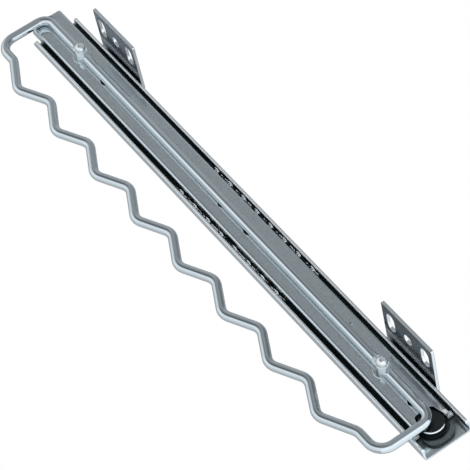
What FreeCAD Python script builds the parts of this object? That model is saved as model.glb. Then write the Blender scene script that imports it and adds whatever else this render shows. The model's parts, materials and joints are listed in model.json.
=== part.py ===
"""Pull-out clothes rail: a ball-bearing slide that hangs under a shelf and carries a wavy wire loop.

Millimetres, +Z up. The origin lies on the tops of the two brackets, midway between their round holes.
The rail pulls out along -X. Places are given as x from the middle of the outer channel, depth out from
the back of its web (towards -Y) and height above its lower edge (towards +Z).
"""
import FreeCAD, Part
import math
import os

# Outer channel, which stays with the shelf
slide_length = 450.0
slide_width = 35.0
sheet = 1.4                 # thickness of both channels
web_bend = 1.0              # inner radius between web and flange
web_straight = 0.5          # flange between that bend and the raceway
lip_straight = 1.1          # and beyond the raceway, up to the rolled lip
lip_roll = 2.2              # thickness of that lip, rolled inwards
lip_cut_long = 3.0          # corner cut off the lip at each end, along the rail
lip_cut_deep = 4.0          # and in from the lip

# Inner channel, which carries the wire loop
rear_setback = 14.0         # shut, it ends this far short of the outer channel's rear end
front_reach = 10.0          # and stands out this far at the front
face_bend = 0.8             # inner radius between face and flange
face_straight = 1.5         # flange between that bend and the raceway
edge_straight = 0.25        # and beyond the raceway, up to the free edge
bead_width = 7.4            # raised band along the face, under the wire
bead_height = 0.35
pad_radius = 6.2            # the band widens to a round pad at each bolt
notch_depth = 10.0          # cut-out in the rear end of the face
notch_mouth = 18.4
notch_root = 13.0
notch_corner = 2.5
screw_hole = 7.2            # holes and slots along the middle of the face
slot_long = 8.6
front_slot_inset = 80.0
rear_hole_inset = 19.0
middle_slot_offset = 30.0
mark_width = 3.4            # punch mark beside the band
mark_depth = 0.9
mark_inset = 90.6
mark_rise = 5.0

# Balls, their cage and the stops that trap it when the rail is pulled out
ball_diameter = 4.0
ball_count = 8
ball_pitch = 15.5
race_clearance = 0.1        # between a ball and its raceways
race_dent = 0.3             # how far a raceway is rolled into its flange
pocket_clearance = 0.1
cage_sheet = 0.5
cage_gap = 0.3              # between the cage and the outer web
cage_end = 7.75             # from the last ball to the end of the cage
cage_strip_depth = 5.6      # the side strips reach this far out between the balls
cage_ring = 0.9             # metal round each ball pocket
stop_gap = 0.5
stop_inset = 43.0           # from the front end to the outer channel's stop tabs
stop_width = 5.0
stop_height = 1.7
stop_rise = 8.0             # from the middle of the web to each tab
stop_window = 6.0           # hole that each tab was bent out of
ear_length = 3.0            # ears at the inner channel's rear end
ear_reach = 2.4
ear_tall = 1.8

# Wire loop
wire_diameter = 6.5
front_leg_inset = 3.7       # from the end of the inner channel to the middle of the end leg
rear_leg_overhang = 0.2     # the rear leg stands this far past the other end
wave_pitch = 50.3
wave_centre = -11.0         # from the middle of the outer channel
wave_rise = 12.3            # between the sharp corners of the zigzag
wave_middle = -27.3
wave_sag = 1.1              # how much lower the wave runs halfway along
wave_flat = -21.6           # height of the short flat at each end of the wave
wave_bend = 9.7             # bend radii along the middle of the wire
wave_end_room = 18.0        # least length of an end leg's flat
top_bend = 8.0
bottom_bend = 10.5
bolt_inset = 49.2           # from the end of the inner channel to the nearest bolt
eye_radius = 4.6            # the wire is pressed flat round each bolt
eye_thick = 3.0
eye_flat = 5.2              # half the length of that flat
eye_slope = 3.4

# Bolts and dome nuts
bolt_diameter = 5.0
bolt_clearance = 0.2
thread_clearance = 0.05
bolt_head_diameter = 10.0
bolt_head_height = 2.2
bolt_head_rim = 0.8
bolt_engagement = 5.0
nut_flats = 8.0
nut_turn = 52.0             # degrees from the rail's length to a corner of the hexagon
nut_hex_height = 4.0
nut_height = 8.6
nut_dome_diameter = 7.6
nut_chamfer = 0.5
nut_tip_room = 0.5

# Brackets and their rivets
bracket_length = 50.0
bracket_inset = 35.0        # from the end of the outer channel
bracket_sheet = 2.0
bracket_reach = 40.0        # free edge of the plate, from the back of the web
bracket_bend = 1.0
bracket_corner = 1.0
plate_gap = 0.8             # between the plate and the channel
leg_bottom = 6.0
hole_row = 26.8             # depth of the row of holes
mount_hole = 7.8
mount_slot_width = 8.0
mount_slot_length = 15.4
mount_slot_offset = 17.0
rivet_diameter = 4.0
rivet_offset = 12.0
rivet_sink = 1.4            # how much wider the sunk head is than the shank, each side
rivet_clearance = 0.05
rivet_head_diameter = 7.2
rivet_head_height = 1.8

# Rear bumper
bumper_rear_inset = 2.2
bumper_length = 24.3
bumper_base = 1.8
bumper_side_gap = 0.4       # to the inner channel's flanges
bumper_corner = 7.0         # at its rear end
bumper_front_corner = 1.0
boss_step = 1.3             # base left bare round the boss
boss_inset = 14.1           # from the rear edge of the base to the middle of the boss
boss_gap = 0.45             # to the back of the inner channel's face
boss_round = 1.1
peg_diameter = 4.0
peg_clearance = 0.05
peg_inset = 5.5

# Places that follow from those sizes
middle = slide_width / 2
rail_front = -slide_length / 2
rail_rear = slide_length / 2
inner_rear = rail_rear - rear_setback
inner_front = rail_front - front_reach
ball_radius = ball_diameter / 2
race_radius = ball_radius + race_clearance
race_back = race_radius + sheet
race_half = math.sqrt(race_radius ** 2 - (race_radius - race_dent) ** 2)
race_back_half = math.sqrt(race_back ** 2 - (race_back - race_dent) ** 2)
ball_height = sheet + race_radius
ball_depth = sheet + web_bend + web_straight + race_back_half
lip_depth = ball_depth + race_back_half + lip_straight + lip_roll / 2
inner_edge = ball_height + race_radius - race_dent
flange_edge_depth = ball_depth - race_back_half - edge_straight
face_depth = ball_depth + race_back_half + face_straight + face_bend + sheet
face_back = face_depth - sheet
bead_depth = face_depth + bead_height
wire_radius = wire_diameter / 2
wire_depth = bead_depth + wire_radius
leg_front = inner_front + front_leg_inset
leg_rear = inner_rear + rear_leg_overhang
bolt_places = {"front": inner_front + bolt_inset, "rear": inner_rear - bolt_inset}
nut_seat = bead_depth + eye_thick
pad_back = bead_depth - sheet
plate_under = slide_width + plate_gap
plate_top = plate_under + bracket_sheet
bracket_middle = rail_rear - bracket_inset - bracket_length / 2
bracket_places = {"front": -bracket_middle, "rear": bracket_middle}
cage_length = (ball_count - 1) * ball_pitch + 2 * cage_end
stop_face = rail_front + stop_inset
ear_face = inner_rear - ear_length
travel = ear_face - (stop_face + cage_length + 2 * stop_gap)
cage_front = stop_face + stop_gap + travel / 2
cage_rear = cage_front + cage_length
bumper_rear = rail_rear - bumper_rear_inset
boss_middle = bumper_rear - boss_inset
cage_back = sheet + cage_gap

ALONG = FreeCAD.Vector(1, 0, 0)
OUT = FreeCAD.Vector(0, -1, 0)
UP = FreeCAD.Vector(0, 0, 1)
THROUGH = 1.0               # how far a cutting tool runs past what it cuts


def at(x, depth, height):
    """Point in the part's frame."""
    return FreeCAD.Vector(x, hole_row - depth, height - plate_top)


def outline(place, start, *steps):
    """Flat face bounded by lines (end,) and arcs (through, end); place turns a pair into a point."""
    edges = []
    here = place(*start)
    for step in steps + ((start,),):
        there = place(*step[-1])
        if len(step) == 2:
            edges.append(Part.Arc(here, place(*step[0]), there).toShape())
        elif here.distanceToPoint(there) > 1e-6:
            edges.append(Part.LineSegment(here, there).toShape())
        here = there
    return Part.Face(Part.Wire(edges))


def rounded_edges(place, corners):
    """Closed run of lines and arcs through corners given as (u, v, radius)."""
    points = [FreeCAD.Vector(u, v, 0) for u, v, radius in corners]
    runs = []
    for i, (u, v, radius) in enumerate(corners):
        corner = points[i]
        back = (points[i - 1] - corner).normalize()
        on = (points[(i + 1) % len(points)] - corner).normalize()
        half = back.getAngle(on) / 2
        reach = radius / math.tan(half)
        inward = (back + on).normalize()
        through = corner + inward * (radius / math.sin(half) - radius)
        runs.append((corner + back * reach, through, corner + on * reach, radius))
    edges = []
    for i, (start, through, end, radius) in enumerate(runs):
        if radius > 0:
            ends = [place(p.x, p.y) for p in (start, through, end)]
            edges.append(Part.Arc(*ends).toShape())
        follower = runs[(i + 1) % len(runs)][0]
        if end.distanceToPoint(follower) > 1e-6:
            edges.append(Part.LineSegment(place(end.x, end.y), place(follower.x, follower.y)).toShape())
    return edges


def both_sides(half):
    """Lower half of a section, joined to its mirror image about the middle of the web."""
    other = half.mirror(at(0, 0, middle), UP)
    return half.fuse(other).removeSplitter()


def bend_through(centre, radius, towards):
    """Middle of a quarter bend, on the diagonal side given by two signs."""
    reach = radius * math.sqrt(0.5)
    return (centre[0] + towards[0] * reach, centre[1] + towards[1] * reach)


def crown_through(radius, rim, tip):
    """Point halfway along a round crown, as (radius, depth), from its rim to its tip on the axis."""
    rise = tip - rim
    sphere = (radius ** 2 + rise ** 2) / (2 * rise)
    quarter = math.asin(radius / abs(sphere)) / 2
    return (abs(sphere) * math.sin(quarter), tip - sphere + sphere * math.cos(quarter))


def turned(x, height, *profile):
    """Solid turned about a line along the depth; the profile gives (radius, depth) corners."""
    face = outline(lambda r, d: at(x + r, d, height), profile[0], *[(p,) for p in profile[1:]])
    return face.revolve(at(x, 0, height), OUT, 360)


def drilled(x, height, radius, low, high):
    """Round tool along the depth."""
    return Part.makeCylinder(radius, high - low, at(x, low, height), OUT)


def block(x_span, depth_span, height_span):
    """Box between two limits each way."""
    corner = at(x_span[0], depth_span[1], height_span[0])
    return Part.makeBox(x_span[1] - x_span[0], depth_span[1] - depth_span[0],
                        height_span[1] - height_span[0], corner)


def outer_channel():
    flange_out = race_dent
    flange_in = race_dent + sheet
    bend_out = web_bend + sheet
    bend_at = (flange_in + web_bend, bend_out)
    lip_start = lip_depth - lip_roll / 2
    half = outline(
        lambda h, d: at(rail_front, d, h),
        (middle, 0),
        ((bend_at[0], 0),),
        (bend_through(bend_at, bend_out, (-1, -1)), (flange_out, bend_out)),
        ((flange_out, ball_depth - race_back_half),),
        ((0, ball_depth), (flange_out, ball_depth + race_back_half)),
        ((flange_out, lip_start),),
        ((flange_out + lip_roll / 2, lip_depth), (flange_out + lip_roll, lip_start)),
        ((flange_in, ball_depth + race_half),),
        ((sheet, ball_depth), (flange_in, ball_depth - race_half)),
        ((flange_in, bend_out),),
        (bend_through(bend_at, web_bend, (-1, -1)), (bend_at[0], sheet)),
        ((middle, sheet),),
    )
    channel = both_sides(half.extrude(ALONG * slide_length))
    for end, inward in ((rail_front, 1), (rail_rear, -1)):
        past = end - inward * THROUGH
        cut_foot = lip_depth - lip_cut_deep
        corner = outline(
            lambda x, d: at(x, d, -THROUGH),
            (end, cut_foot),
            ((end + inward * lip_cut_long, lip_depth),),
            ((end + inward * lip_cut_long, lip_depth + THROUGH),),
            ((past, lip_depth + THROUGH),),
            ((past, cut_foot),),
        )
        channel = channel.cut(corner.extrude(UP * (slide_width + 2 * THROUGH)))
    for side in (-1, 1):
        tab = middle + side * stop_rise
        heights = (tab - stop_width / 2, tab + stop_width / 2)
        window_rear = stop_face - sheet
        window = block((window_rear - stop_window, window_rear), (-THROUGH, sheet + THROUGH), heights)
        channel = channel.cut(window)
        channel = channel.fuse(block((window_rear, stop_face), (0, sheet + stop_height), heights))
    for x in rivet_places():
        channel = channel.cut(sunk_head(x, rivet_clearance))
    for x in peg_places():
        channel = channel.cut(drilled(x, middle, peg_diameter / 2 + peg_clearance, -THROUGH, sheet + THROUGH))
    return channel.removeSplitter()


def inner_channel():
    flange_in = inner_edge + sheet
    bend_out = face_bend + sheet
    bend_at = (flange_in + face_bend, face_depth - bend_out)
    bead_foot = middle - bead_width / 2
    wall_shift = sheet * math.tan(math.pi / 8)
    half = outline(
        lambda h, d: at(inner_front, d, h),
        (middle, bead_depth),
        ((bead_foot + bead_height, bead_depth),),
        ((bead_foot, face_depth),),
        ((bend_at[0], face_depth),),
        (bend_through(bend_at, bend_out, (-1, 1)), (inner_edge, bend_at[1])),
        ((inner_edge, ball_depth + race_half),),
        ((inner_edge + race_dent, ball_depth), (inner_edge, ball_depth - race_half)),
        ((inner_edge, flange_edge_depth),),
        ((flange_in, flange_edge_depth),),
        ((flange_in, ball_depth - race_back_half),),
        ((flange_in + race_dent, ball_depth), (flange_in, ball_depth + race_back_half)),
        ((flange_in, bend_at[1]),),
        (bend_through(bend_at, face_bend, (-1, 1)), (bend_at[0], face_back)),
        ((bead_foot + wall_shift, face_back),),
        ((bead_foot + bead_height + wall_shift, pad_back),),
        ((middle, pad_back),),
    )
    channel = both_sides(half.extrude(ALONG * (inner_rear - inner_front)))
    pad_foot = pad_radius + bead_height
    pocket_foot = pad_foot - wall_shift
    bolt_hole = bolt_diameter / 2 + bolt_clearance
    for x in bolt_places.values():
        pad = turned(x, middle, (0, face_back + sheet / 2), (pad_foot, face_back + sheet / 2),
                     (pad_foot, face_depth), (pad_radius, bead_depth), (0, bead_depth))
        pocket = turned(x, middle, (0, face_back - THROUGH), (pocket_foot, face_back - THROUGH),
                        (pocket_foot, face_back), (pocket_foot - bead_height, pad_back), (0, pad_back))
        channel = channel.fuse(pad).cut(pocket)
        channel = channel.cut(drilled(x, middle, bolt_hole, 0, bead_depth + THROUGH))
    inner_middle = (inner_front + inner_rear) / 2
    cuts = {
        inner_front + front_slot_inset: slot_long,
        inner_middle: screw_hole,
        inner_middle + middle_slot_offset: slot_long,
        inner_rear - rear_hole_inset: screw_hole,
    }
    for x, length in cuts.items():
        channel = channel.cut(slot_along(x, length))
    channel = channel.cut(turned(inner_rear - mark_inset, middle + mark_rise, (0, face_depth - mark_depth),
                                 (mark_width / 2, face_depth), (mark_width / 2, face_depth + THROUGH),
                                 (0, face_depth + THROUGH)))
    ear_tip = inner_edge - ear_reach
    ear = block((ear_face, inner_rear), (flange_edge_depth, flange_edge_depth + ear_tall),
                (ear_tip, inner_edge + sheet / 2))
    channel = channel.fuse(ear).fuse(ear.mirror(at(0, 0, middle), UP))
    return channel.cut(rear_notch()).removeSplitter()


def slot_along(x, length):
    """Tool for a hole or a slot in the middle of the inner channel's face."""
    radius = screw_hole / 2
    half = (length - screw_hole) / 2
    low = face_back - THROUGH
    high = bead_depth + THROUGH
    tool = drilled(x - half, middle, radius, low, high)
    if half > 0:
        tool = tool.fuse(drilled(x + half, middle, radius, low, high))
        tool = tool.fuse(block((x - half, x + half), (low, high), (middle - radius, middle + radius)))
    return tool.removeSplitter()


def rear_notch():
    """Tool for the cut-out in the rear end of the inner channel's face."""
    root = inner_rear - notch_depth
    mouth = inner_rear + THROUGH
    low = face_back - THROUGH
    corners = [(mouth, middle - notch_mouth / 2, 0), (root, middle - notch_root / 2, notch_corner),
               (root, middle + notch_root / 2, notch_corner), (mouth, middle + notch_mouth / 2, 0)]
    face = Part.Face(Part.Wire(rounded_edges(lambda x, h: at(x, low, h), corners)))
    return face.extrude(OUT * (bead_depth + THROUGH - low))


def ball_places():
    first = cage_front + cage_end
    return [first + i * ball_pitch for i in range(ball_count)]


def ball(x, height):
    return Part.makeSphere(ball_radius, at(x, ball_depth, height))


def ball_cage():
    near = ball_height - cage_sheet / 2
    far = ball_height + cage_sheet / 2
    span = (cage_front, cage_rear)
    pocket = ball_radius + pocket_clearance
    ring = pocket + cage_ring
    side = block(span, (cage_back, cage_strip_depth), (near, far))
    for x in ball_places():
        side = side.fuse(Part.makeCylinder(ring, cage_sheet, at(x, ball_depth, near), UP))
    side = side.common(block(span, (cage_back, ball_depth + ring), (near, far)))
    for x in ball_places():
        tool = Part.makeCylinder(pocket, cage_sheet + 2 * THROUGH, at(x, ball_depth, near - THROUGH), UP)
        side = side.cut(tool)
    web = block(span, (cage_back, cage_back + cage_sheet), (near, middle))
    return both_sides(side.fuse(web))


def hanger_wire():
    """The loop, bent from one wire and closed, with a flat eye at each bolt."""
    valley_count = int((leg_rear - leg_front - 2 * wave_end_room) // wave_pitch)
    valleys = [wave_centre + wave_pitch * (i - (valley_count - 1) / 2) for i in range(valley_count)]
    half_span = (leg_rear - leg_front) / 2
    low = wave_middle - wave_rise / 2
    high = wave_middle + wave_rise / 2

    def sag(x):
        return wave_sag * (1 - ((x - wave_centre) / half_span) ** 2)

    to_flat = (wave_flat - low + sag(valleys[0])) / (wave_rise / (wave_pitch / 2))
    corners = [(leg_rear, middle, top_bend), (leg_rear, wave_flat, bottom_bend),
               (valleys[-1] + to_flat, wave_flat, wave_bend)]
    for valley in reversed(valleys):
        peak = valley - wave_pitch / 2
        corners.append((valley, low - sag(valley), wave_bend))
        corners.append((peak, high - sag(peak), wave_bend))
    corners[-1] = (valleys[0] - to_flat, wave_flat, wave_bend)
    corners += [(leg_front, wave_flat, bottom_bend), (leg_front, middle, top_bend)]
    edges = rounded_edges(lambda x, h: at(x, wire_depth, h), corners)
    path = Part.Wire(edges)
    start = edges[0].valueAt(edges[0].FirstParameter)
    tangent = edges[0].tangentAt(edges[0].FirstParameter)
    profile = Part.Wire(Part.makeCircle(wire_radius, start, tangent))
    wire = path.makePipeShell([profile], True, False)
    round_volume = math.pi * wire_radius ** 2 * path.Length
    print("hanger_wire: length", round(path.Length, 1), "volume ratio", round(wire.Volume / round_volume, 5))
    bolt_hole = bolt_diameter / 2 + bolt_clearance
    for x in bolt_places.values():
        top = wire_depth + wire_radius + THROUGH
        run = eye_flat + eye_slope
        press = outline(lambda u, d: at(x + u, d, middle - wire_diameter),
                        (-eye_flat, nut_seat), ((eye_flat, nut_seat),), ((run, top),), ((-run, top),))
        wire = wire.cut(press.extrude(UP * (2 * wire_diameter)))
        wire = wire.fuse(drilled(x, middle, eye_radius, bead_depth, nut_seat))
        wire = wire.cut(drilled(x, middle, bolt_hole, 0, top))
    return wire.removeSplitter()


def bolt(x):
    radius = bolt_diameter / 2
    head = bolt_head_diameter / 2
    low = pad_back - bolt_head_height
    rim = pad_back - bolt_head_rim
    tip = nut_seat + bolt_engagement
    face = outline(lambda r, d: at(x + r, d, middle), (0, low), (crown_through(head, rim, low), (head, rim)),
                   ((head, pad_back),), ((radius, pad_back),), ((radius, tip),), ((0, tip),))
    return face.revolve(at(x, 0, middle), OUT, 360)


def cap_nut(x):
    flats = nut_flats / 2
    corner = flats / math.cos(math.pi / 6)
    hex_top = nut_seat + nut_hex_height
    dome = nut_dome_diameter / 2
    tip = nut_seat + nut_height
    turns = [math.radians(nut_turn + 60 * i) for i in range(6)]
    points = [at(x + corner * math.cos(turn), nut_seat, middle + corner * math.sin(turn)) for turn in turns]
    prism = Part.Face(Part.makePolygon(points + points[:1])).extrude(OUT * nut_hex_height)
    lathe = turned(x, middle, (0, nut_seat), (corner - nut_chamfer, nut_seat),
                   (corner, nut_seat + nut_chamfer), (corner, hex_top - nut_chamfer),
                   (corner - 2 * nut_chamfer, hex_top), (0, hex_top))
    round_from = tip - dome
    cap_foot = hex_top - nut_chamfer
    cap = outline(lambda r, d: at(x + r, d, middle), (0, cap_foot), ((dome, cap_foot),),
                  ((dome, round_from),), (crown_through(dome, round_from, tip), (0, tip)))
    nut = prism.common(lathe).fuse(cap.revolve(at(x, 0, middle), OUT, 360))
    bore = drilled(x, middle, bolt_diameter / 2 + thread_clearance, nut_seat - THROUGH,
                   nut_seat + bolt_engagement + nut_tip_room)
    return nut.cut(bore).removeSplitter()


def bracket(x):
    bend_out = bracket_bend + bracket_sheet
    bend_at = (bracket_bend, plate_under - bracket_bend)
    section = outline(
        lambda d, h: at(x - bracket_length / 2, d, h),
        (bracket_reach, plate_top),
        ((bend_at[0], plate_top),),
        (bend_through(bend_at, bend_out, (-1, 1)), (-bracket_sheet, bend_at[1])),
        ((-bracket_sheet, leg_bottom),),
        ((0, leg_bottom),),
        ((0, bend_at[1]),),
        (bend_through(bend_at, bracket_bend, (-1, 1)), (bend_at[0], plate_under)),
        ((bracket_reach, plate_under),),
    )
    plate = section.extrude(ALONG * bracket_length)
    free_y = at(0, bracket_reach, 0).y
    corners = [e for e in plate.Edges
               if all(abs(v.Y - free_y) < 1e-6 for v in e.Vertexes) and abs(e.Length - bracket_sheet) < 1e-6]
    plate = plate.makeFillet(bracket_corner, corners)
    low = plate_under - THROUGH
    tall = bracket_sheet + 2 * THROUGH
    plate = plate.cut(Part.makeCylinder(mount_hole / 2, tall, at(x, hole_row, low), UP))
    radius = mount_slot_width / 2
    half = mount_slot_length / 2 - radius
    for side in (-1, 1):
        slot_x = x + side * mount_slot_offset
        ends = (hole_row - half, hole_row + half)
        slot = block((slot_x - radius, slot_x + radius), ends, (low, low + tall))
        for depth in ends:
            slot = slot.fuse(Part.makeCylinder(radius, tall, at(slot_x, depth, low), UP))
        plate = plate.cut(slot.removeSplitter())
    rivet_hole = rivet_diameter / 2 + rivet_clearance
    for offset in (-rivet_offset, rivet_offset):
        plate = plate.cut(drilled(x + offset, middle, rivet_hole, -bracket_sheet - THROUGH, THROUGH))
    return plate


def rivet_places():
    return [x + side * rivet_offset for x in bracket_places.values() for side in (-1, 1)]


def sunk_head(x, spare):
    """Cone that lies flush in the outer web, with room to spare all round."""
    radius = rivet_diameter / 2 + spare
    wide = radius + rivet_sink
    return turned(x, middle, (0, 0), (radius, 0), (wide, sheet), (0, sheet))


def rivet(x):
    radius = rivet_diameter / 2
    head = rivet_head_diameter / 2
    seat = -bracket_sheet
    tip = seat - rivet_head_height
    body = outline(lambda r, d: at(x + r, d, middle), (0, 0), ((radius, 0),), ((radius, seat),),
                   ((head, seat),), (crown_through(head, seat, tip), (0, tip)))
    return sunk_head(x, 0).fuse(body.revolve(at(x, 0, middle), OUT, 360)).removeSplitter()


def peg_places():
    return [bumper_rear - peg_inset, bumper_rear - bumper_length + peg_inset]


def rear_bumper():
    half_width = middle - inner_edge - sheet - race_dent - bumper_side_gap
    front = bumper_rear - bumper_length
    low = middle - half_width
    high = middle + half_width
    corners = [(front, low, bumper_front_corner), (bumper_rear, low, bumper_corner),
               (bumper_rear, high, bumper_corner), (front, high, bumper_front_corner)]
    face = Part.Face(Part.Wire(rounded_edges(lambda x, h: at(x, sheet, h), corners)))
    base = face.extrude(OUT * bumper_base)
    boss_depth = face_back - boss_gap
    boss = drilled(boss_middle, middle, half_width - boss_step, sheet, boss_depth)
    rim = [e for e in boss.Edges if abs(e.BoundBox.YMin - at(0, boss_depth, 0).y) < 1e-6 and e.Closed]
    bumper = base.fuse(boss.makeFillet(boss_round, rim))
    for x in peg_places():
        bumper = bumper.fuse(drilled(x, middle, peg_diameter / 2, 0, sheet))
    return bumper.removeSplitter()


def all_nodes():
    nodes = {
        "outer_channel": outer_channel(),
        "inner_channel": inner_channel(),
        "ball_cage": ball_cage(),
        "hanger_wire": hanger_wire(),
        "rear_bumper": rear_bumper(),
    }
    for i, x in enumerate(ball_places(), 1):
        nodes[f"lower_ball_{i}"] = ball(x, ball_height)
        nodes[f"upper_ball_{i}"] = ball(x, slide_width - ball_height)
    for end, x in bolt_places.items():
        nodes[f"{end}_bolt"] = bolt(x)
        nodes[f"{end}_cap_nut"] = cap_nut(x)
    for end, x in bracket_places.items():
        nodes[f"{end}_bracket"] = bracket(x)
        for i, side in enumerate((-1, 1), 1):
            nodes[f"{end}_bracket_rivet_{i}"] = rivet(x + side * rivet_offset)
    return nodes


os.makedirs("parts", exist_ok=True)
print("travel", travel)
for name, shape in all_nodes().items():
    if not shape.isValid() or len(shape.Solids) != 1:
        raise ValueError(f"{name}: not one valid solid")
    shape.exportStep(f"parts/{name}.step")
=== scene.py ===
"""Looks of the pull-out clothes rail: plated steel, bright wire, oiled balls and a black bumper."""
import json
import bmesh
import bpy
from mathutils import Matrix, Vector


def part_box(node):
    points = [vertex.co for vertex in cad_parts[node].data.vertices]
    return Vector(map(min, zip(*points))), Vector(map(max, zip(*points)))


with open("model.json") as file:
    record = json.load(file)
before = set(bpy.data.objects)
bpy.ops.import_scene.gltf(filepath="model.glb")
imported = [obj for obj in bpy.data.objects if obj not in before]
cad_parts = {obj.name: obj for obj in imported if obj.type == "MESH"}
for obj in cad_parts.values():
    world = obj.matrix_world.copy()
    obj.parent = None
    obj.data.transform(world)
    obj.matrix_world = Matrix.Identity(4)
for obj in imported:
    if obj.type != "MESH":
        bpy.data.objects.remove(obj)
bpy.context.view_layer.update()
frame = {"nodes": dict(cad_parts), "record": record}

scene = bpy.context.scene
scene.view_settings.view_transform = "Standard"

# Camera, fitted to the straight edges, holes and corners seen in the photo
CAMERA_AT = (0.949352, -1.191046, -0.433628)
CAMERA_RIGHT = Vector((0.55584038, 0.15670663, 0.81638502))
CAMERA_DOWN = Vector((0.58418729, 0.62504774, -0.51772632))
FOCAL_PIXELS = 2490.79
PHOTO_PIXELS = 470
SENSOR_MM = 36.0
CLIP_NEAR = 0.01
CLIP_FAR = 100.0

# Places on the rail, in metres
HEXAGON_HEIGHT = 0.0040     # of a dome nut
BOSS_INSET = 0.0141         # from the bumper's rear edge to the middle of its boss
BASE_DEPTH = 0.0032         # from the back of the outer web to the face of the bumper's base
BOSS_HIGHLIGHT_REACH = 0.0006        # how far the painted highlight goes down the boss's rounded rim
OUTER_LOW, OUTER_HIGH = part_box("outer_channel")
INNER_LOW, INNER_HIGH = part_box("inner_channel")
BUMPER_LOW, BUMPER_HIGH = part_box("rear_bumper")
NUT_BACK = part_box("rear_cap_nut")[1].y
RAIL_MIDDLE = (OUTER_LOW.z + OUTER_HIGH.z) / 2
WEB_BACK = OUTER_HIGH.y
BOSS_MIDDLE = BUMPER_HIGH.x - BOSS_INSET
BASE_FACE = Vector((BOSS_MIDDLE, WEB_BACK - BASE_DEPTH, RAIL_MIDDLE))           # under the boss
BOSS_HIGHLIGHT_FOOT = Vector((BOSS_MIDDLE, BUMPER_LOW.y + BOSS_HIGHLIGHT_REACH, RAIL_MIDDLE))     # foot of the painted highlight, inside the boss
NUT_SHOULDER = NUT_BACK - HEXAGON_HEIGHT

# Soft edges of the marks on the metal (grease, painted shade and painted highlights), each as where the
# mark ends and where it is full.
# Side is the distance above or below the rail's middle line, depth the one in front of the web's back,
# and front and rear are distances from that end of the channel.
# grease and painted shade in the outer channel's raceways
RACEWAY_SIDE_FROM = (0.0085, 0.0105)
RACEWAY_SIDE_TO = (0.0170, 0.0166)
RACEWAY_DEPTH_FROM = (0.0006, 0.0010)
RACEWAY_DEPTH_TO = (0.0072, 0.0066)
RACEWAY_REAR = (0.0010, 0.0150)
RACEWAY_FRONT = (0.0001, 0.0030)
# painted shade on the outer web round the bumper
BUMPER_SHADE_MIDDLE_DEPTH = 0.0014
BUMPER_SHADE_REACH = (0.0178, 0.0128)
BUMPER_SHADE_DEPTH = (0.0004, 0.0008)
BUMPER_SHADE_STRENGTH = 0.7
# painted highlight on the outer channel's rolled lips
LIP_DEPTH = (0.0066, 0.0070)
LIP_FACING_UP = (0.5, 0.2)
# painted shade along the wire's seat
SEAT_SIDE = (0.0050, 0.0040)
SEAT_DEPTH = (0.0084, 0.0090)
SEAT_SHADE_STRENGTH = 0.32
# grease and painted shade on the inner channel's flanges
FLANGE_SIDE = (0.0102, 0.0106)
FLANGE_DEPTH = (0.0072, 0.0060)
FLANGE_REAR = (0.0026, 0.0050)
FLANGE_FRONT = (0.0090, 0.0150)
# painted glint on the inner channel's rear ears
EAR_SIDE = (0.0086, 0.0094)
EAR_REAR = (0.0034, 0.0024)
# grease and painted shade in clumps on the cage's strips
CLUMP_SCALE = 260.0
CLUMP_STRETCH = (1.0, 0.05, 0.05)
CLUMP_NOISE = (0.56, 0.50)
STRIP_DEPTH = (0.0060, 0.0056)
# painted glints on the edges of the cage's rings
RING_FACING_OUT = (0.1, -0.3)
# painted highlight on the bracket's cut edges and hole walls
UPRIGHT_FACING_UP = (0.6, 0.3)
PLATE_HEIGHT = (-0.0040, -0.0030)
# painted highlight on the edge round a nut's hexagon
NUT_RIM_INNER = (NUT_SHOULDER + 0.0011, NUT_SHOULDER + 0.0008)
NUT_RIM_OUTER = (NUT_SHOULDER - 0.0002, NUT_SHOULDER)
NUT_HAZE = 0.25

# Painted reflection on the bumper's base and painted highlight on its boss's rim
# painted reflection: a lighter crescent on the bumper's base
BASE_REFLECTION_FROM = (0.0106, 0.0118)
BASE_REFLECTION_TO = (0.0150, 0.0138)
BASE_REFLECTION_FACE = (BASE_FACE.y + 0.0003, BASE_FACE.y + 0.0001)
BASE_REFLECTION_REAR = (BOSS_MIDDLE, BOSS_MIDDLE + 0.0040)
# painted highlight on the boss's rim
BOSS_HIGHLIGHT_FROM = (0.00810, 0.00825)
BOSS_HIGHLIGHT_HEIGHT = (BOSS_HIGHLIGHT_FOOT.y + 0.0002, BOSS_HIGHLIGHT_FOOT.y)
BOSS_HIGHLIGHT_SIDE = Vector((0.974, 0.0, -0.225))
BOSS_HIGHLIGHT_ALONG = [BOSS_HIGHLIGHT_SIDE.dot(BOSS_HIGHLIGHT_FOOT) + reach for reach in (0.00486, 0.00616)]

# Colours, as one or as a darker and a lighter one
ZINC = (0.76, 0.82, 0.85)
DRAWN_WIRE = (0.74, 0.795, 0.82)
SHEET = (0.50, 0.53, 0.56)
CAGE_SHEET = (0.76, 0.80, 0.82)
BALL_STEEL = (0.84, 0.87, 0.89)
NUT_PLATE = (0.86, 0.90, 0.92)
FASTENER_ZINC = (0.62, 0.67, 0.71)
# light colour of the painted highlights on lips, ears, ring edges, cut edges and nut rims
HIGHLIGHT_PAINT = ((0.88, 0.92, 0.95), (0.93, 0.96, 0.98))
# near-black colour of grease, also used as painted shade
GREASE_AND_SHADE = ((0.011, 0.018, 0.020), (0.023, 0.038, 0.042))
BLACK = ((0.0026, 0.0050, 0.0058), (0.0060, 0.0110, 0.0127))
# colour of the painted reflection on the bumper's base
BASE_REFLECTION_PAINT = ((0.062, 0.083, 0.092), (0.088, 0.116, 0.128))
# colour of the painted highlight on the boss's rim
BOSS_HIGHLIGHT_PAINT = ((0.90, 0.92, 0.94), (0.95, 0.96, 0.97))
FLOOR_PAINT = ((0.86, 0.86, 0.86), (0.90, 0.90, 0.90))
GREY = (0.94, 1.0, 1.045)

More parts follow.
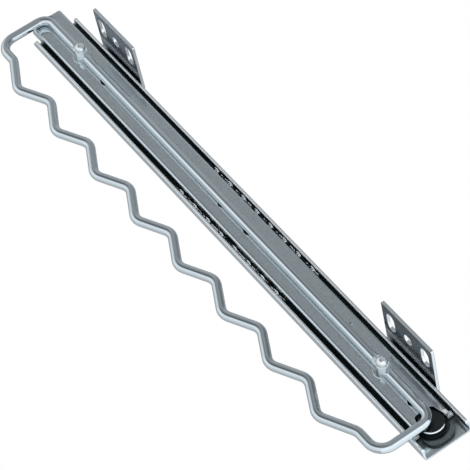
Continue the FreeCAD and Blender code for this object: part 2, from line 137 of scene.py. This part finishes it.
# Patterns: features per metre, and the range that a noise mostly keeps to
NOISE_RANGE = (0.3, 0.7)
MASK_RANGE = (0.0, 1.0)
LINE_STRETCH = (0.02, 1.0, 1.0)
SPECKLE_SCALE = 900.0
GRAIN_SCALE = 3500.0
GRAIN_HEIGHT = 0.00005
MOULD_SCALE = 220.0
MOULD_GRAIN = 0.04
MOULD_GRAIN_SCALE = 1400.0
MOULD_GRAIN_HEIGHT = 0.0001
MOULD_EDGE = 0.0004
FLOOR_SCALE = 3.0
HIGHLIGHT_PAINT_ROUGHNESS = (0.12, 0.18)
GREASE_AND_SHADE_ROUGHNESS = (0.32, 0.48)
BUMPER_ROUGHNESS = (0.20, 0.30)
THICK_GREASE_AND_SHADE = (1.0, 0.75)  # strengths of the grease and painted shade at which nothing and all of the metal shows through

# Studio: strengths of the world's light, places and sizes in metres, lamps in watts
SOFT_LIGHT = 0.55
WHITE = 1.0
FLOOR_HALF = 12.0
FLOOR_HEIGHT = -1.6
FLOOR_WHITENESS = (0.85, 1.0)
FLOOR_FADE = (1.0, 8.0)
LAMP_SIZE = 1.6
LAMPS = {"key_lamp": ((-1.2, -2.0, 1.6), 32.0), "fill_lamp": ((1.8, -1.6, -0.6), 16.0)}

# Surroundings that only the metal mirrors; tones are a share of the height or length, and a grey level
ROOM_RADIUS = 6.0
ROOM_HEIGHT = (-ROOM_RADIUS, ROOM_RADIUS)
ROOM_LEFT = (-0.50 * ROOM_RADIUS, -0.72 * ROOM_RADIUS)
ROOM_BEHIND = (-0.15 * ROOM_RADIUS, 0.25 * ROOM_RADIUS)
ROOM_BELOW = (0.22 * ROOM_RADIUS, 0.0)
VIEWER_SIDE = (-0.21, -0.976, 0.065)
VIEWER_REACH = (0.88 * ROOM_RADIUS, 0.68 * ROOM_RADIUS)
AHEAD_TONES = ((0.0, 0.15), (0.40, 0.15), (0.475, 0.19), (0.55, 0.29), (0.63, 0.33), (0.90, 0.31),
               (0.96, 0.42))
LEFT_TONES = ((0.0, 0.15), (0.40, 0.16), (0.475, 0.22), (0.55, 0.30), (0.66, 0.38), (0.83, 0.47),
              (1.0, 0.42))
BELOW_TONES = ((0.0, 0.80), (0.05, 0.92), (0.15, 0.98), (0.25, 0.93), (0.40, 0.75), (0.50, 0.70))
BACK_TONES = ((0.0, 0.68), (0.10, 0.53), (0.25, 0.52), (0.37, 0.42), (0.60, 0.42), (0.75, 0.33),
              (1.0, 0.36))
CARD_X = 0.44
CARD_Y = (-0.55, 0.55)
CARD_Z = (-0.32, 0.36)
CARD_TONES = ((0.0, 0.36), (0.12, 0.90), (0.30, 1.25), (0.55, 1.0), (0.85, 0.90), (1.0, 0.45))
FLAG_X = (-0.32, 0.42)
FLAG_Y = (-0.45, 0.10)
FLAG_Z = 0.40
FLAG_TONES = ((0.0, 0.36), (0.35, 0.18), (1.0, 0.15))


def add_camera():
    data = bpy.data.cameras.new("photo_camera")
    data.sensor_width = SENSOR_MM
    data.lens = FOCAL_PIXELS / PHOTO_PIXELS * SENSOR_MM
    data.clip_start = CLIP_NEAR
    data.clip_end = CLIP_FAR
    camera = bpy.data.objects.new("photo_camera", data)
    right = CAMERA_RIGHT.normalized()
    down = (CAMERA_DOWN - right * CAMERA_DOWN.dot(right)).normalized()
    forward = right.cross(down)
    turn = Matrix((right, -down, -forward)).transposed().to_4x4()
    camera.matrix_world = Matrix.Translation(CAMERA_AT) @ turn
    scene.collection.objects.link(camera)
    scene.camera = camera


class Graph:
    """A node tree under construction: makes nodes and joins them."""

    def __init__(self, tree):
        self.tree = tree

    def node(self, kind, **values):
        made = self.tree.nodes.new(kind)
        for key, value in values.items():
            setattr(made, key, value)
        return made

    def join(self, source, target):
        self.tree.links.new(source, target)

    def math(self, operation, *values):
        """A calculation with numbers and with values of other nodes."""
        made = self.node("ShaderNodeMath", operation=operation)
        for value, target in zip(values, made.inputs):
            if isinstance(value, float):
                target.default_value = value
            else:
                self.join(value, target)
        return made.outputs[0]

    def both(self, *masks):
        """Masks multiplied together."""
        joined = masks[0]
        for mask in masks[1:]:
            joined = self.math("MULTIPLY", joined, mask)
        return joined

    def either(self, first, second):
        """The stronger of two masks."""
        return self.math("MAXIMUM", first, second)

    def mix_shaders(self, factor, first, second):
        """The first shader where the factor is 0, the second where it is 1."""
        made = self.node("ShaderNodeMixShader")
        self.join(factor, made.inputs[0])
        self.join(first, made.inputs[1])
        self.join(second, made.inputs[2])
        return made.outputs[0]


class Surface(Graph):
    """A material under construction, with patterns and measures of the place that it shades."""

    def __init__(self, name):
        self.material = bpy.data.materials.new(name)
        self.material.use_nodes = True
        super().__init__(self.material.node_tree)
        self.shader = self.tree.nodes["Principled BSDF"]
        self.output = self.tree.nodes["Material Output"].inputs["Surface"]
        self.place = self.node("ShaderNodeTexCoord").outputs["Object"]
        self.axes = self.split(self.place)

    def split(self, vector):
        """The X, Y and Z of a vector."""
        made = self.node("ShaderNodeSeparateXYZ")
        self.join(vector, made.inputs[0])
        return made.outputs

    def axis(self, name):
        """One coordinate of the place, in metres."""
        return self.axes[name]

    def noise(self, scale, detail=4.0, stretch=(1.0, 1.0, 1.0)):
        """A noise pattern; scale is in features per metre, a stretch below 1 lengthens them."""
        mapping = self.node("ShaderNodeMapping")
        mapping.inputs["Scale"].default_value = stretch
        self.join(self.place, mapping.inputs["Vector"])
        pattern = self.node("ShaderNodeTexNoise")
        pattern.inputs["Scale"].default_value = scale
        pattern.inputs["Detail"].default_value = detail
        self.join(mapping.outputs["Vector"], pattern.inputs["Vector"])
        return pattern.outputs["Fac"]

    def ramp(self, factor, *stops):
        """Colours along a pattern; each stop is a position and a colour."""
        made = self.node("ShaderNodeValToRGB")
        elements = made.color_ramp.elements
        while len(elements) < len(stops):
            elements.new(0.5)
        for element, (position, colour) in zip(elements, stops):
            element.position = position
            element.color = (*colour, 1.0)
        self.join(factor, made.inputs["Fac"])
        return made.outputs["Color"]

    def tones(self, noise, dark, light):
        """Colours from dark to light along a noise pattern."""
        return self.ramp(noise, *zip(NOISE_RANGE, (dark, light)))

    def greys(self, factor, stops):
        """Greys along a pattern; each stop is a position and a level."""
        return self.ramp(factor, *((position, shade(GREY, level)) for position, level in stops))

    def spread(self, factor, low, high, source=NOISE_RANGE):
        """The factor's range, its source, as values from low to high."""
        made = self.node("ShaderNodeMapRange")
        made.inputs["From Min"].default_value = source[0]
        made.inputs["From Max"].default_value = source[1]
        made.inputs["To Min"].default_value = low
        made.inputs["To Max"].default_value = high
        self.join(factor, made.inputs["Value"])
        return made.outputs["Result"]

    def step(self, value, none, full):
        """Goes smoothly from 0 where the value is none to 1 where it is full."""
        made = self.node("ShaderNodeMapRange", interpolation_type="SMOOTHSTEP")
        made.inputs["From Min"].default_value = none
        made.inputs["From Max"].default_value = full
        self.join(value, made.inputs["Value"])
        return made.outputs["Result"]

    def away_from(self, point):
        """Distance from a point, in metres."""
        made = self.node("ShaderNodeVectorMath", operation="DISTANCE")
        made.inputs[1].default_value = point
        self.join(self.place, made.inputs[0])
        return made.outputs["Value"]

    def towards(self, direction):
        """How far the place lies in a direction, in metres."""
        made = self.node("ShaderNodeVectorMath", operation="DOT_PRODUCT")
        made.inputs[1].default_value = direction
        self.join(self.place, made.inputs[0])
        return made.outputs["Value"]

    def side(self):
        """Distance above or below the rail's middle line."""
        return self.math("ABSOLUTE", self.math("SUBTRACT", self.axis("Z"), RAIL_MIDDLE))

    def depth(self):
        """Distance in front of the back of the outer web."""
        return self.math("SUBTRACT", WEB_BACK, self.axis("Y"))

    def ahead_of(self, rear):
        """Distance along the rail from a rear end towards the front."""
        return self.math("SUBTRACT", rear, self.axis("X"))

    def behind(self, front):
        """Distance along the rail from a front end towards the rear."""
        return self.math("SUBTRACT", self.axis("X"), front)

    def facing(self, name):
        """How far the surface faces along an axis, from -1 to 1."""
        return self.split(self.node("ShaderNodeNewGeometry").outputs["Normal"])[name]

    def blend(self, factor, first, second):
        """The first colour where the factor is 0, the second where it is 1."""
        made = self.node("ShaderNodeMix", data_type="RGBA")
        self.join(factor, made.inputs[0])
        self.join(first, made.inputs[6])
        self.join(second, made.inputs[7])
        return made.outputs[2]

    def blend_values(self, factor, first, second):
        """The first value where the factor is 0, the second where it is 1."""
        made = self.node("ShaderNodeMix", data_type="FLOAT")
        self.join(factor, made.inputs[0])
        self.join(first, made.inputs[2])
        self.join(second, made.inputs[3])
        return made.outputs[0]

    def bump(self, pattern, strength, height, edge):
        """A fine relief, over normals that turn smoothly round sharp edges within the edge's radius."""
        rounded = self.node("ShaderNodeBevel", samples=6)
        rounded.inputs["Radius"].default_value = edge
        made = self.node("ShaderNodeBump")
        made.inputs["Strength"].default_value = strength
        made.inputs["Distance"].default_value = height
        self.join(pattern, made.inputs["Height"])
        self.join(rounded.outputs["Normal"], made.inputs["Normal"])
        self.join(made.outputs["Normal"], self.shader.inputs["Normal"])

    def set(self, **values):
        """Sets the shader's own values; an underscore stands for a space."""
        for key, value in values.items():
            self.shader.inputs[key.replace("_", " ")].default_value = value

    def link(self, **sources):
        """Joins patterns to the shader's inputs; an underscore stands for a space."""
        for key, source in sources.items():
            self.join(source, self.shader.inputs[key.replace("_", " ")])


def shade(colour, factor):
    return tuple(channel * factor for channel in colour)


def metal(name, colour, roughness, lines, cloud, contrast, mottle=0.05, grain=0.02, edge=0.0002,
          grease_and_shade=None, bright=None, matt=0.0):
    """Plated steel: fine lines from rolling or drawing, a mottled grain in the plating, uneven polish.

    Lines and cloud are features per metre, contrast and mottle shares of the colour, grain the strength of
    a fine relief and edge the radius of soft edges in metres. Grease and bright give the masks of places
    darkened by greasing and by painted shade, and of places lightened as a painted highlight; matt is the
    share of such a highlight that isn't metal.
    """
    surface = Surface(name)
    along = surface.noise(lines, detail=3.0, stretch=LINE_STRETCH)
    clouds = surface.noise(cloud, detail=5.0)
    speckle = surface.spread(surface.noise(SPECKLE_SCALE, detail=2.0), *MASK_RANGE)
    dull_share = 1.0 - mottle
    light = surface.tones(along, shade(colour, 1.0 - contrast), shade(colour, 1.0 + contrast))
    dull = surface.tones(along, shade(colour, dull_share - contrast), shade(colour, dull_share + contrast))
    tone = surface.blend(speckle, light, dull)
    polish = surface.spread(clouds, *roughness)
    bare = []
    # painted highlight: a lighter, smoother colour that is partly not metal
    if bright:
        mask = bright(surface)
        tone = surface.blend(mask, tone, surface.tones(along, *HIGHLIGHT_PAINT))
        polish = surface.blend_values(mask, polish, surface.spread(clouds, *HIGHLIGHT_PAINT_ROUGHNESS))
        if matt:
            bare.append(surface.spread(mask, 1.0, 1.0 - matt, MASK_RANGE))
    # grease and painted shade: a near-black, rougher colour that stops being metal where it is full
    if grease_and_shade:
        mask = grease_and_shade(surface)
        tone = surface.blend(mask, tone, surface.tones(clouds, *GREASE_AND_SHADE))
        polish = surface.blend_values(mask, polish, surface.spread(clouds, *GREASE_AND_SHADE_ROUGHNESS))
        bare.append(surface.step(mask, *THICK_GREASE_AND_SHADE))
    surface.link(Base_Color=tone, Roughness=polish)
    surface.set(Metallic=1.0, Specular_IOR_Level=0.25)
    if bare:
        surface.link(Metallic=surface.both(*bare))
    surface.bump(surface.noise(GRAIN_SCALE, detail=2.0), grain, GRAIN_HEIGHT, edge)
    return surface


def outer_grease_and_shade(surface):
    """Grease and painted shade along both raceways of the outer channel, and painted shade on the web round
    the bumper.
    """
    side = surface.side()
    depth = surface.depth()
    # grease and painted shade: the raceways darkened
    raceways = surface.both(
        surface.step(side, *RACEWAY_SIDE_FROM),
        surface.step(side, *RACEWAY_SIDE_TO),
        surface.step(depth, *RACEWAY_DEPTH_FROM),
        surface.step(depth, *RACEWAY_DEPTH_TO),
        surface.step(surface.ahead_of(OUTER_HIGH.x), *RACEWAY_REAR),
        surface.step(surface.behind(OUTER_LOW.x), *RACEWAY_FRONT),
    )
    # painted shade: the web darkened round the bumper
    bumper_shade_middle = (BOSS_MIDDLE, WEB_BACK - BUMPER_SHADE_MIDDLE_DEPTH, RAIL_MIDDLE)
    bumper_shade = surface.both(
        surface.step(surface.away_from(bumper_shade_middle), *BUMPER_SHADE_REACH),
        surface.step(depth, *BUMPER_SHADE_DEPTH),
    )
    return surface.either(raceways, surface.spread(bumper_shade, 0.0, BUMPER_SHADE_STRENGTH, MASK_RANGE))


def lip_highlight(surface):
    """The rolled lips of the outer channel, lightened as a painted highlight except on top."""
    return surface.both(
        surface.step(surface.depth(), *LIP_DEPTH),
        surface.step(surface.facing("Z"), *LIP_FACING_UP),
    )


def inner_grease_and_shade(surface):
    """Grease and painted shade outside on the inner channel's flanges, and a faint line of painted shade
    along the wire's seat.
    """
    side = surface.side()
    depth = surface.depth()
    # painted shade: a faint dark line beside the wire
    seat = surface.both(surface.step(side, *SEAT_SIDE), surface.step(depth, *SEAT_DEPTH))
    # grease and painted shade: the flanges darkened
    flanges = surface.both(
        surface.step(side, *FLANGE_SIDE),
        surface.step(depth, *FLANGE_DEPTH),
        surface.step(surface.ahead_of(INNER_HIGH.x), *FLANGE_REAR),
        surface.step(surface.behind(INNER_LOW.x), *FLANGE_FRONT),
    )
    return surface.either(flanges, surface.spread(seat, 0.0, SEAT_SHADE_STRENGTH, MASK_RANGE))


def ear_glints(surface):
    """The ears bent out at the inner channel's rear end, lightened as a painted glint."""
    return surface.both(
        surface.step(surface.ahead_of(INNER_HIGH.x), *EAR_REAR),
        surface.step(surface.side(), *EAR_SIDE),
    )


def cage_grease_and_shade(surface):
    """Grease in clumps on the cage's strips behind the rings round its balls, which also stands for painted
    shade in the gaps.
    """
    clumps = surface.noise(CLUMP_SCALE, detail=2.0, stretch=CLUMP_STRETCH)
    return surface.both(surface.step(clumps, *CLUMP_NOISE), surface.step(surface.depth(), *STRIP_DEPTH))


def cage_rim_glints(surface):
    """The rings' cut edges that face out of the gaps, lightened as painted glints."""
    return surface.step(surface.facing("Y"), *RING_FACING_OUT)


def cut_edge_highlight(surface):
    """Sheared edges and hole walls of a bracket's plate, which stand upright, lightened as a painted
    highlight.
    """
    level = surface.math("ABSOLUTE", surface.facing("Z"))
    return surface.both(
        surface.step(level, *UPRIGHT_FACING_UP),
        surface.step(surface.axis("Z"), *PLATE_HEIGHT),
    )


def nut_rim_highlight(surface):
    """The edge round a nut's hexagon, lightened as a painted highlight, over a faint haze on the rest of
    the nut.
    """
    rim = surface.both(
        surface.step(surface.axis("Y"), *NUT_RIM_INNER),
        surface.step(surface.axis("Y"), *NUT_RIM_OUTER),
    )
    return surface.spread(rim, NUT_HAZE, 1.0, MASK_RANGE)


def bumper_plastic():
    """Black plastic, towards the rear lighter on its base as a painted reflection, and light and metallic
    along its boss's rim as a painted highlight.
    """
    surface = Surface("bumper_plastic")
    moulded = surface.noise(MOULD_SCALE)
    from_base = surface.away_from(BASE_FACE)
    # painted reflection: a lighter crescent on the base
    base_reflection = surface.both(
        surface.step(from_base, *BASE_REFLECTION_FROM),
        surface.step(from_base, *BASE_REFLECTION_TO),
        surface.step(surface.axis("Y"), *BASE_REFLECTION_FACE),
        surface.step(surface.axis("X"), *BASE_REFLECTION_REAR),
    )
    # painted highlight: the boss's rim made light and metallic
    boss_highlight = surface.both(
        surface.step(surface.away_from(BOSS_HIGHLIGHT_FOOT), *BOSS_HIGHLIGHT_FROM),
        surface.step(surface.axis("Y"), *BOSS_HIGHLIGHT_HEIGHT),
        surface.step(surface.towards(BOSS_HIGHLIGHT_SIDE), *BOSS_HIGHLIGHT_ALONG),
    )
    plastic = surface.blend(base_reflection, surface.tones(moulded, *BLACK), surface.tones(moulded, *BASE_REFLECTION_PAINT))
    surface.link(
        Base_Color=surface.blend(boss_highlight, plastic, surface.tones(moulded, *BOSS_HIGHLIGHT_PAINT)),
        Metallic=boss_highlight,
        Roughness=surface.spread(moulded, *BUMPER_ROUGHNESS),
    )
    surface.set(Specular_IOR_Level=0.5)
    surface.bump(surface.noise(MOULD_GRAIN_SCALE, detail=2.0), MOULD_GRAIN, MOULD_GRAIN_HEIGHT, MOULD_EDGE)
    return surface


def finishes():
    """One surface for each slot of the record."""
    return {
        "outer_zinc": metal("outer_zinc", ZINC, roughness=(0.11, 0.16), lines=900.0, cloud=60.0,
                            contrast=0.03, mottle=0.16, grease_and_shade=outer_grease_and_shade, bright=lip_highlight, matt=0.25),
        "inner_zinc": metal("inner_zinc", ZINC, roughness=(0.11, 0.16), lines=900.0, cloud=60.0,
                            contrast=0.03, mottle=0.20, grain=0.04, grease_and_shade=inner_grease_and_shade,
                            bright=ear_glints, matt=0.5),
        "cage_steel": metal("cage_steel", CAGE_SHEET, roughness=(0.10, 0.18), lines=700.0, cloud=90.0,
                            contrast=0.06, grease_and_shade=cage_grease_and_shade, bright=cage_rim_glints, matt=0.7),
        "ball_steel": metal("ball_steel", BALL_STEEL, roughness=(0.05, 0.10), lines=500.0, cloud=300.0,
                            contrast=0.05),
        "bright_wire": metal("bright_wire", DRAWN_WIRE, roughness=(0.03, 0.06), lines=1200.0, cloud=80.0,
                             contrast=0.03, grain=0.01),
        "bright_nut": metal("bright_nut", NUT_PLATE, roughness=(0.02, 0.04), lines=800.0, cloud=200.0,
                            contrast=0.03, grain=0.01, bright=nut_rim_highlight, matt=0.7),
        "bright_bracket": metal("bright_bracket", SHEET, roughness=(0.20, 0.26), lines=900.0, cloud=70.0,
                                contrast=0.04, edge=0.0005, bright=cut_edge_highlight),
        "fastener_zinc": metal("fastener_zinc", FASTENER_ZINC, roughness=(0.18, 0.28), lines=700.0,
                               cloud=200.0, contrast=0.05),
        "bumper_plastic": bumper_plastic(),
    }


def dress_nodes():
    surfaces = finishes()
    for entry in frame["record"]["subparts"]:
        node = frame["nodes"][entry["node"]]
        made = surfaces[entry["material_slot"]].material
        if not node.material_slots:
            node.data.materials.append(made)
        for slot in node.material_slots:
            slot.material = made


def add_world():
    """White where the camera, metal or glass sees it, and soft light otherwise."""
    world = bpy.data.worlds.new("studio_world")
    scene.world = world
    world.use_nodes = True
    graph = Graph(world.node_tree)
    graph.tree.nodes.clear()
    path = graph.node("ShaderNodeLightPath").outputs
    in_metal_or_glass = graph.either(path["Is Glossy Ray"], path["Is Transmission Ray"])
    seen = graph.either(path["Is Camera Ray"], in_metal_or_glass)
    lights = []
    for strength in (SOFT_LIGHT, WHITE):
        light = graph.node("ShaderNodeBackground")
        light.inputs["Color"].default_value = (1.0, 1.0, 1.0, 1.0)
        light.inputs["Strength"].default_value = strength
        lights.append(light.outputs[0])
    output = graph.node("ShaderNodeOutputWorld").inputs["Surface"]
    graph.join(graph.mix_shaders(seen, *lights), output)


def flat_piece(name, corners, surface):
    """A flat piece of the studio with four corners."""
    mesh = bpy.data.meshes.new(name)
    mesh.from_pydata(corners, [], [(0, 1, 2, 3)])
    mesh.materials.append(surface.material)
    return bpy.data.objects.new(name, mesh)


def level_corners(x, y, z):
    """Corners of a level rectangle that faces up, from its spans in X and Y and its height."""
    return [(x[0], y[0], z), (x[1], y[0], z), (x[1], y[1], z), (x[0], y[1], z)]


def link_stage(obj):
    scene.collection.objects.link(obj)


def add_floor():
    """A plain pale floor far below, nearly white to the viewer, white far away and seen from above only."""
    surface = Surface("floor_paint")
    surface.link(Base_Color=surface.tones(surface.noise(FLOOR_SCALE, detail=3.0), *FLOOR_PAINT))
    surface.set(Roughness=0.8)
    away = surface.away_from((0.0, 0.0, FLOOR_HEIGHT))
    whiteness = surface.spread(away, *FLOOR_WHITENESS, FLOOR_FADE)
    seen = surface.both(surface.node("ShaderNodeLightPath").outputs["Is Camera Ray"], whiteness)
    white = surface.node("ShaderNodeEmission").outputs[0]
    clear = surface.node("ShaderNodeBsdfTransparent").outputs[0]
    from_below = surface.node("ShaderNodeNewGeometry").outputs["Backfacing"]
    painted = surface.mix_shaders(seen, surface.shader.outputs[0], white)
    surface.join(surface.mix_shaders(from_below, painted, clear), surface.output)
    span = (-FLOOR_HALF, FLOOR_HALF)
    floor = flat_piece("floor", level_corners(span, span, FLOOR_HEIGHT), surface)
    floor.visible_glossy = False
    link_stage(floor)


def only_in_metal(obj):
    """Hides a piece of the surroundings from everything but reflections."""
    obj.visible_camera = False
    obj.visible_diffuse = False
    obj.visible_shadow = False
    obj.visible_transmission = False
    link_stage(obj)


def glow(surface, tone):
    made = surface.node("ShaderNodeEmission")
    surface.join(tone, made.inputs["Color"])
    surface.join(made.outputs[0], surface.output)


def add_room():
    """Soft surroundings: grey where the viewer stands and above, pale below, half pale behind."""
    surface = Surface("room_tones")
    height = surface.spread(surface.axis("Z"), *MASK_RANGE, ROOM_HEIGHT)
    left = surface.step(surface.axis("X"), *ROOM_LEFT)
    behind = surface.step(surface.axis("Y"), *ROOM_BEHIND)
    below = surface.both(
        surface.step(surface.towards(VIEWER_SIDE), *VIEWER_REACH),
        surface.step(surface.axis("Z"), *ROOM_BELOW),
    )
    upper = surface.blend(left, surface.greys(height, AHEAD_TONES), surface.greys(height, LEFT_TONES))
    front = surface.blend(below, upper, surface.greys(height, BELOW_TONES))
    glow(surface, surface.blend(behind, front, surface.greys(height, BACK_TONES)))
    mesh = bpy.data.meshes.new("room")
    ball = bmesh.new()
    bmesh.ops.create_uvsphere(ball, u_segments=64, v_segments=32, radius=ROOM_RADIUS)
    ball.to_mesh(mesh)
    ball.free()
    mesh.materials.append(surface.material)
    only_in_metal(bpy.data.objects.new("room", mesh))


def add_panel(name, corners, axis, span, tones):
    """A flat panel that only shows in reflections, with its tones along one axis."""
    surface = Surface(name)
    along = surface.spread(surface.axis(axis), *MASK_RANGE, span)
    glow(surface, surface.greys(along, tones))
    only_in_metal(flat_piece(name, corners, surface))


def add_card():
    """A white card close to the rear end of the rail, brightest towards the viewer."""
    near, far = CARD_Y
    low, high = CARD_Z
    corners = [(CARD_X, near, low), (CARD_X, far, low), (CARD_X, far, high), (CARD_X, near, high)]
    add_panel("card", corners, "Y", CARD_Y, CARD_TONES)


def add_flag():
    """A dark flag above the rail, darkest over its rear half."""
    add_panel("flag", level_corners(FLAG_X, FLAG_Y, FLAG_Z), "X", FLAG_X, FLAG_TONES)


def add_lamp(name, place, power):
    """A round soft lamp that shines at the origin and doesn't show in the metal."""
    data = bpy.data.lights.new(name, "AREA")
    data.shape = "DISK"
    data.size = LAMP_SIZE
    data.energy = power
    lamp = bpy.data.objects.new(name, data)
    lamp.location = place
    lamp.rotation_euler = (-Vector(place)).to_track_quat("-Z", "Y").to_euler()
    lamp.visible_glossy = False
    scene.collection.objects.link(lamp)


add_camera()
add_world()
add_floor()
add_room()
add_card()
add_flag()
for lamp_name, (lamp_place, lamp_power) in LAMPS.items():
    add_lamp(lamp_name, lamp_place, lamp_power)
dress_nodes()
